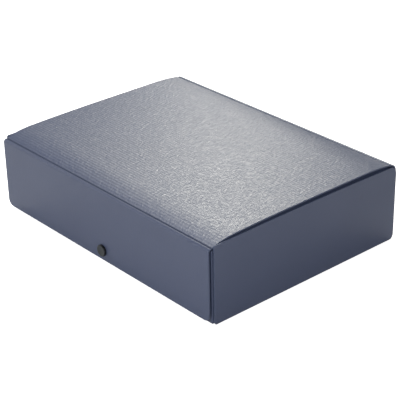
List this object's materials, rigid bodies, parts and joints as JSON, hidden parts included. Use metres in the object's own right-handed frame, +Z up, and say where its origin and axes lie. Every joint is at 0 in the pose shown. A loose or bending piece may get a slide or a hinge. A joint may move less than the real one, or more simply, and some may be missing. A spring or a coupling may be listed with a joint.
{
  "type": "box file",
  "caption": "Closed document box folded from creased plastic sheet, with a hinged lid and a front flap held by a press stud.",
  "frame": {"origin": "middle of the underside of the base, where the box stands", "axes": "+X along the long front to the right, +Y from the front flap back to the spine, +Z up"},
  "size_m": [0.33, 0.2536, 0.0884],
  "materials": {
    "sheet": "matt slate-blue polypropylene sheet with a fine pressed line grain",
    "stud": "black moulded acetal, satin gloss"
  },
  "bodies": {
    "tray": {"base_panel": "sheet", "front_wall": "sheet", "spine_panel": "sheet", "left_end_wall": "sheet", "right_end_wall": "sheet", "front_base_crease": "sheet", "rear_base_crease": "sheet", "left_base_crease": "sheet", "right_base_crease": "sheet", "front_left_tab": "sheet", "front_right_tab": "sheet", "rear_left_tab": "sheet", "rear_right_tab": "sheet", "front_left_corner_crease": "sheet", "front_right_corner_crease": "sheet", "rear_left_corner_crease": "sheet", "rear_right_corner_crease": "sheet", "lid_rear_crease": "sheet", "stud_post": "stud", "stud_back": "stud"},
    "lid": {"lid_panel": "sheet"},
    "flap": {"front_flap": "sheet", "lid_front_crease": "sheet", "stud_cap": "stud", "stud_socket": "stud"}
  },
  "joints": [
    {"name": "lid_hinge", "type": "hinge", "parent": "tray", "child": "lid", "pos_m": [0, 0.12233, 0.08243], "axis": [-1, 0, 0], "range_deg": [0, 180], "deforming": ["lid_rear_crease"]},
    {"name": "flap_hinge", "type": "hinge", "parent": "lid", "child": "flap", "pos_m": [0, -0.12394, 0.08014], "axis": [-1, 0, 0], "range_deg": [0, 180], "deforming": ["lid_front_crease"]}
  ]
}
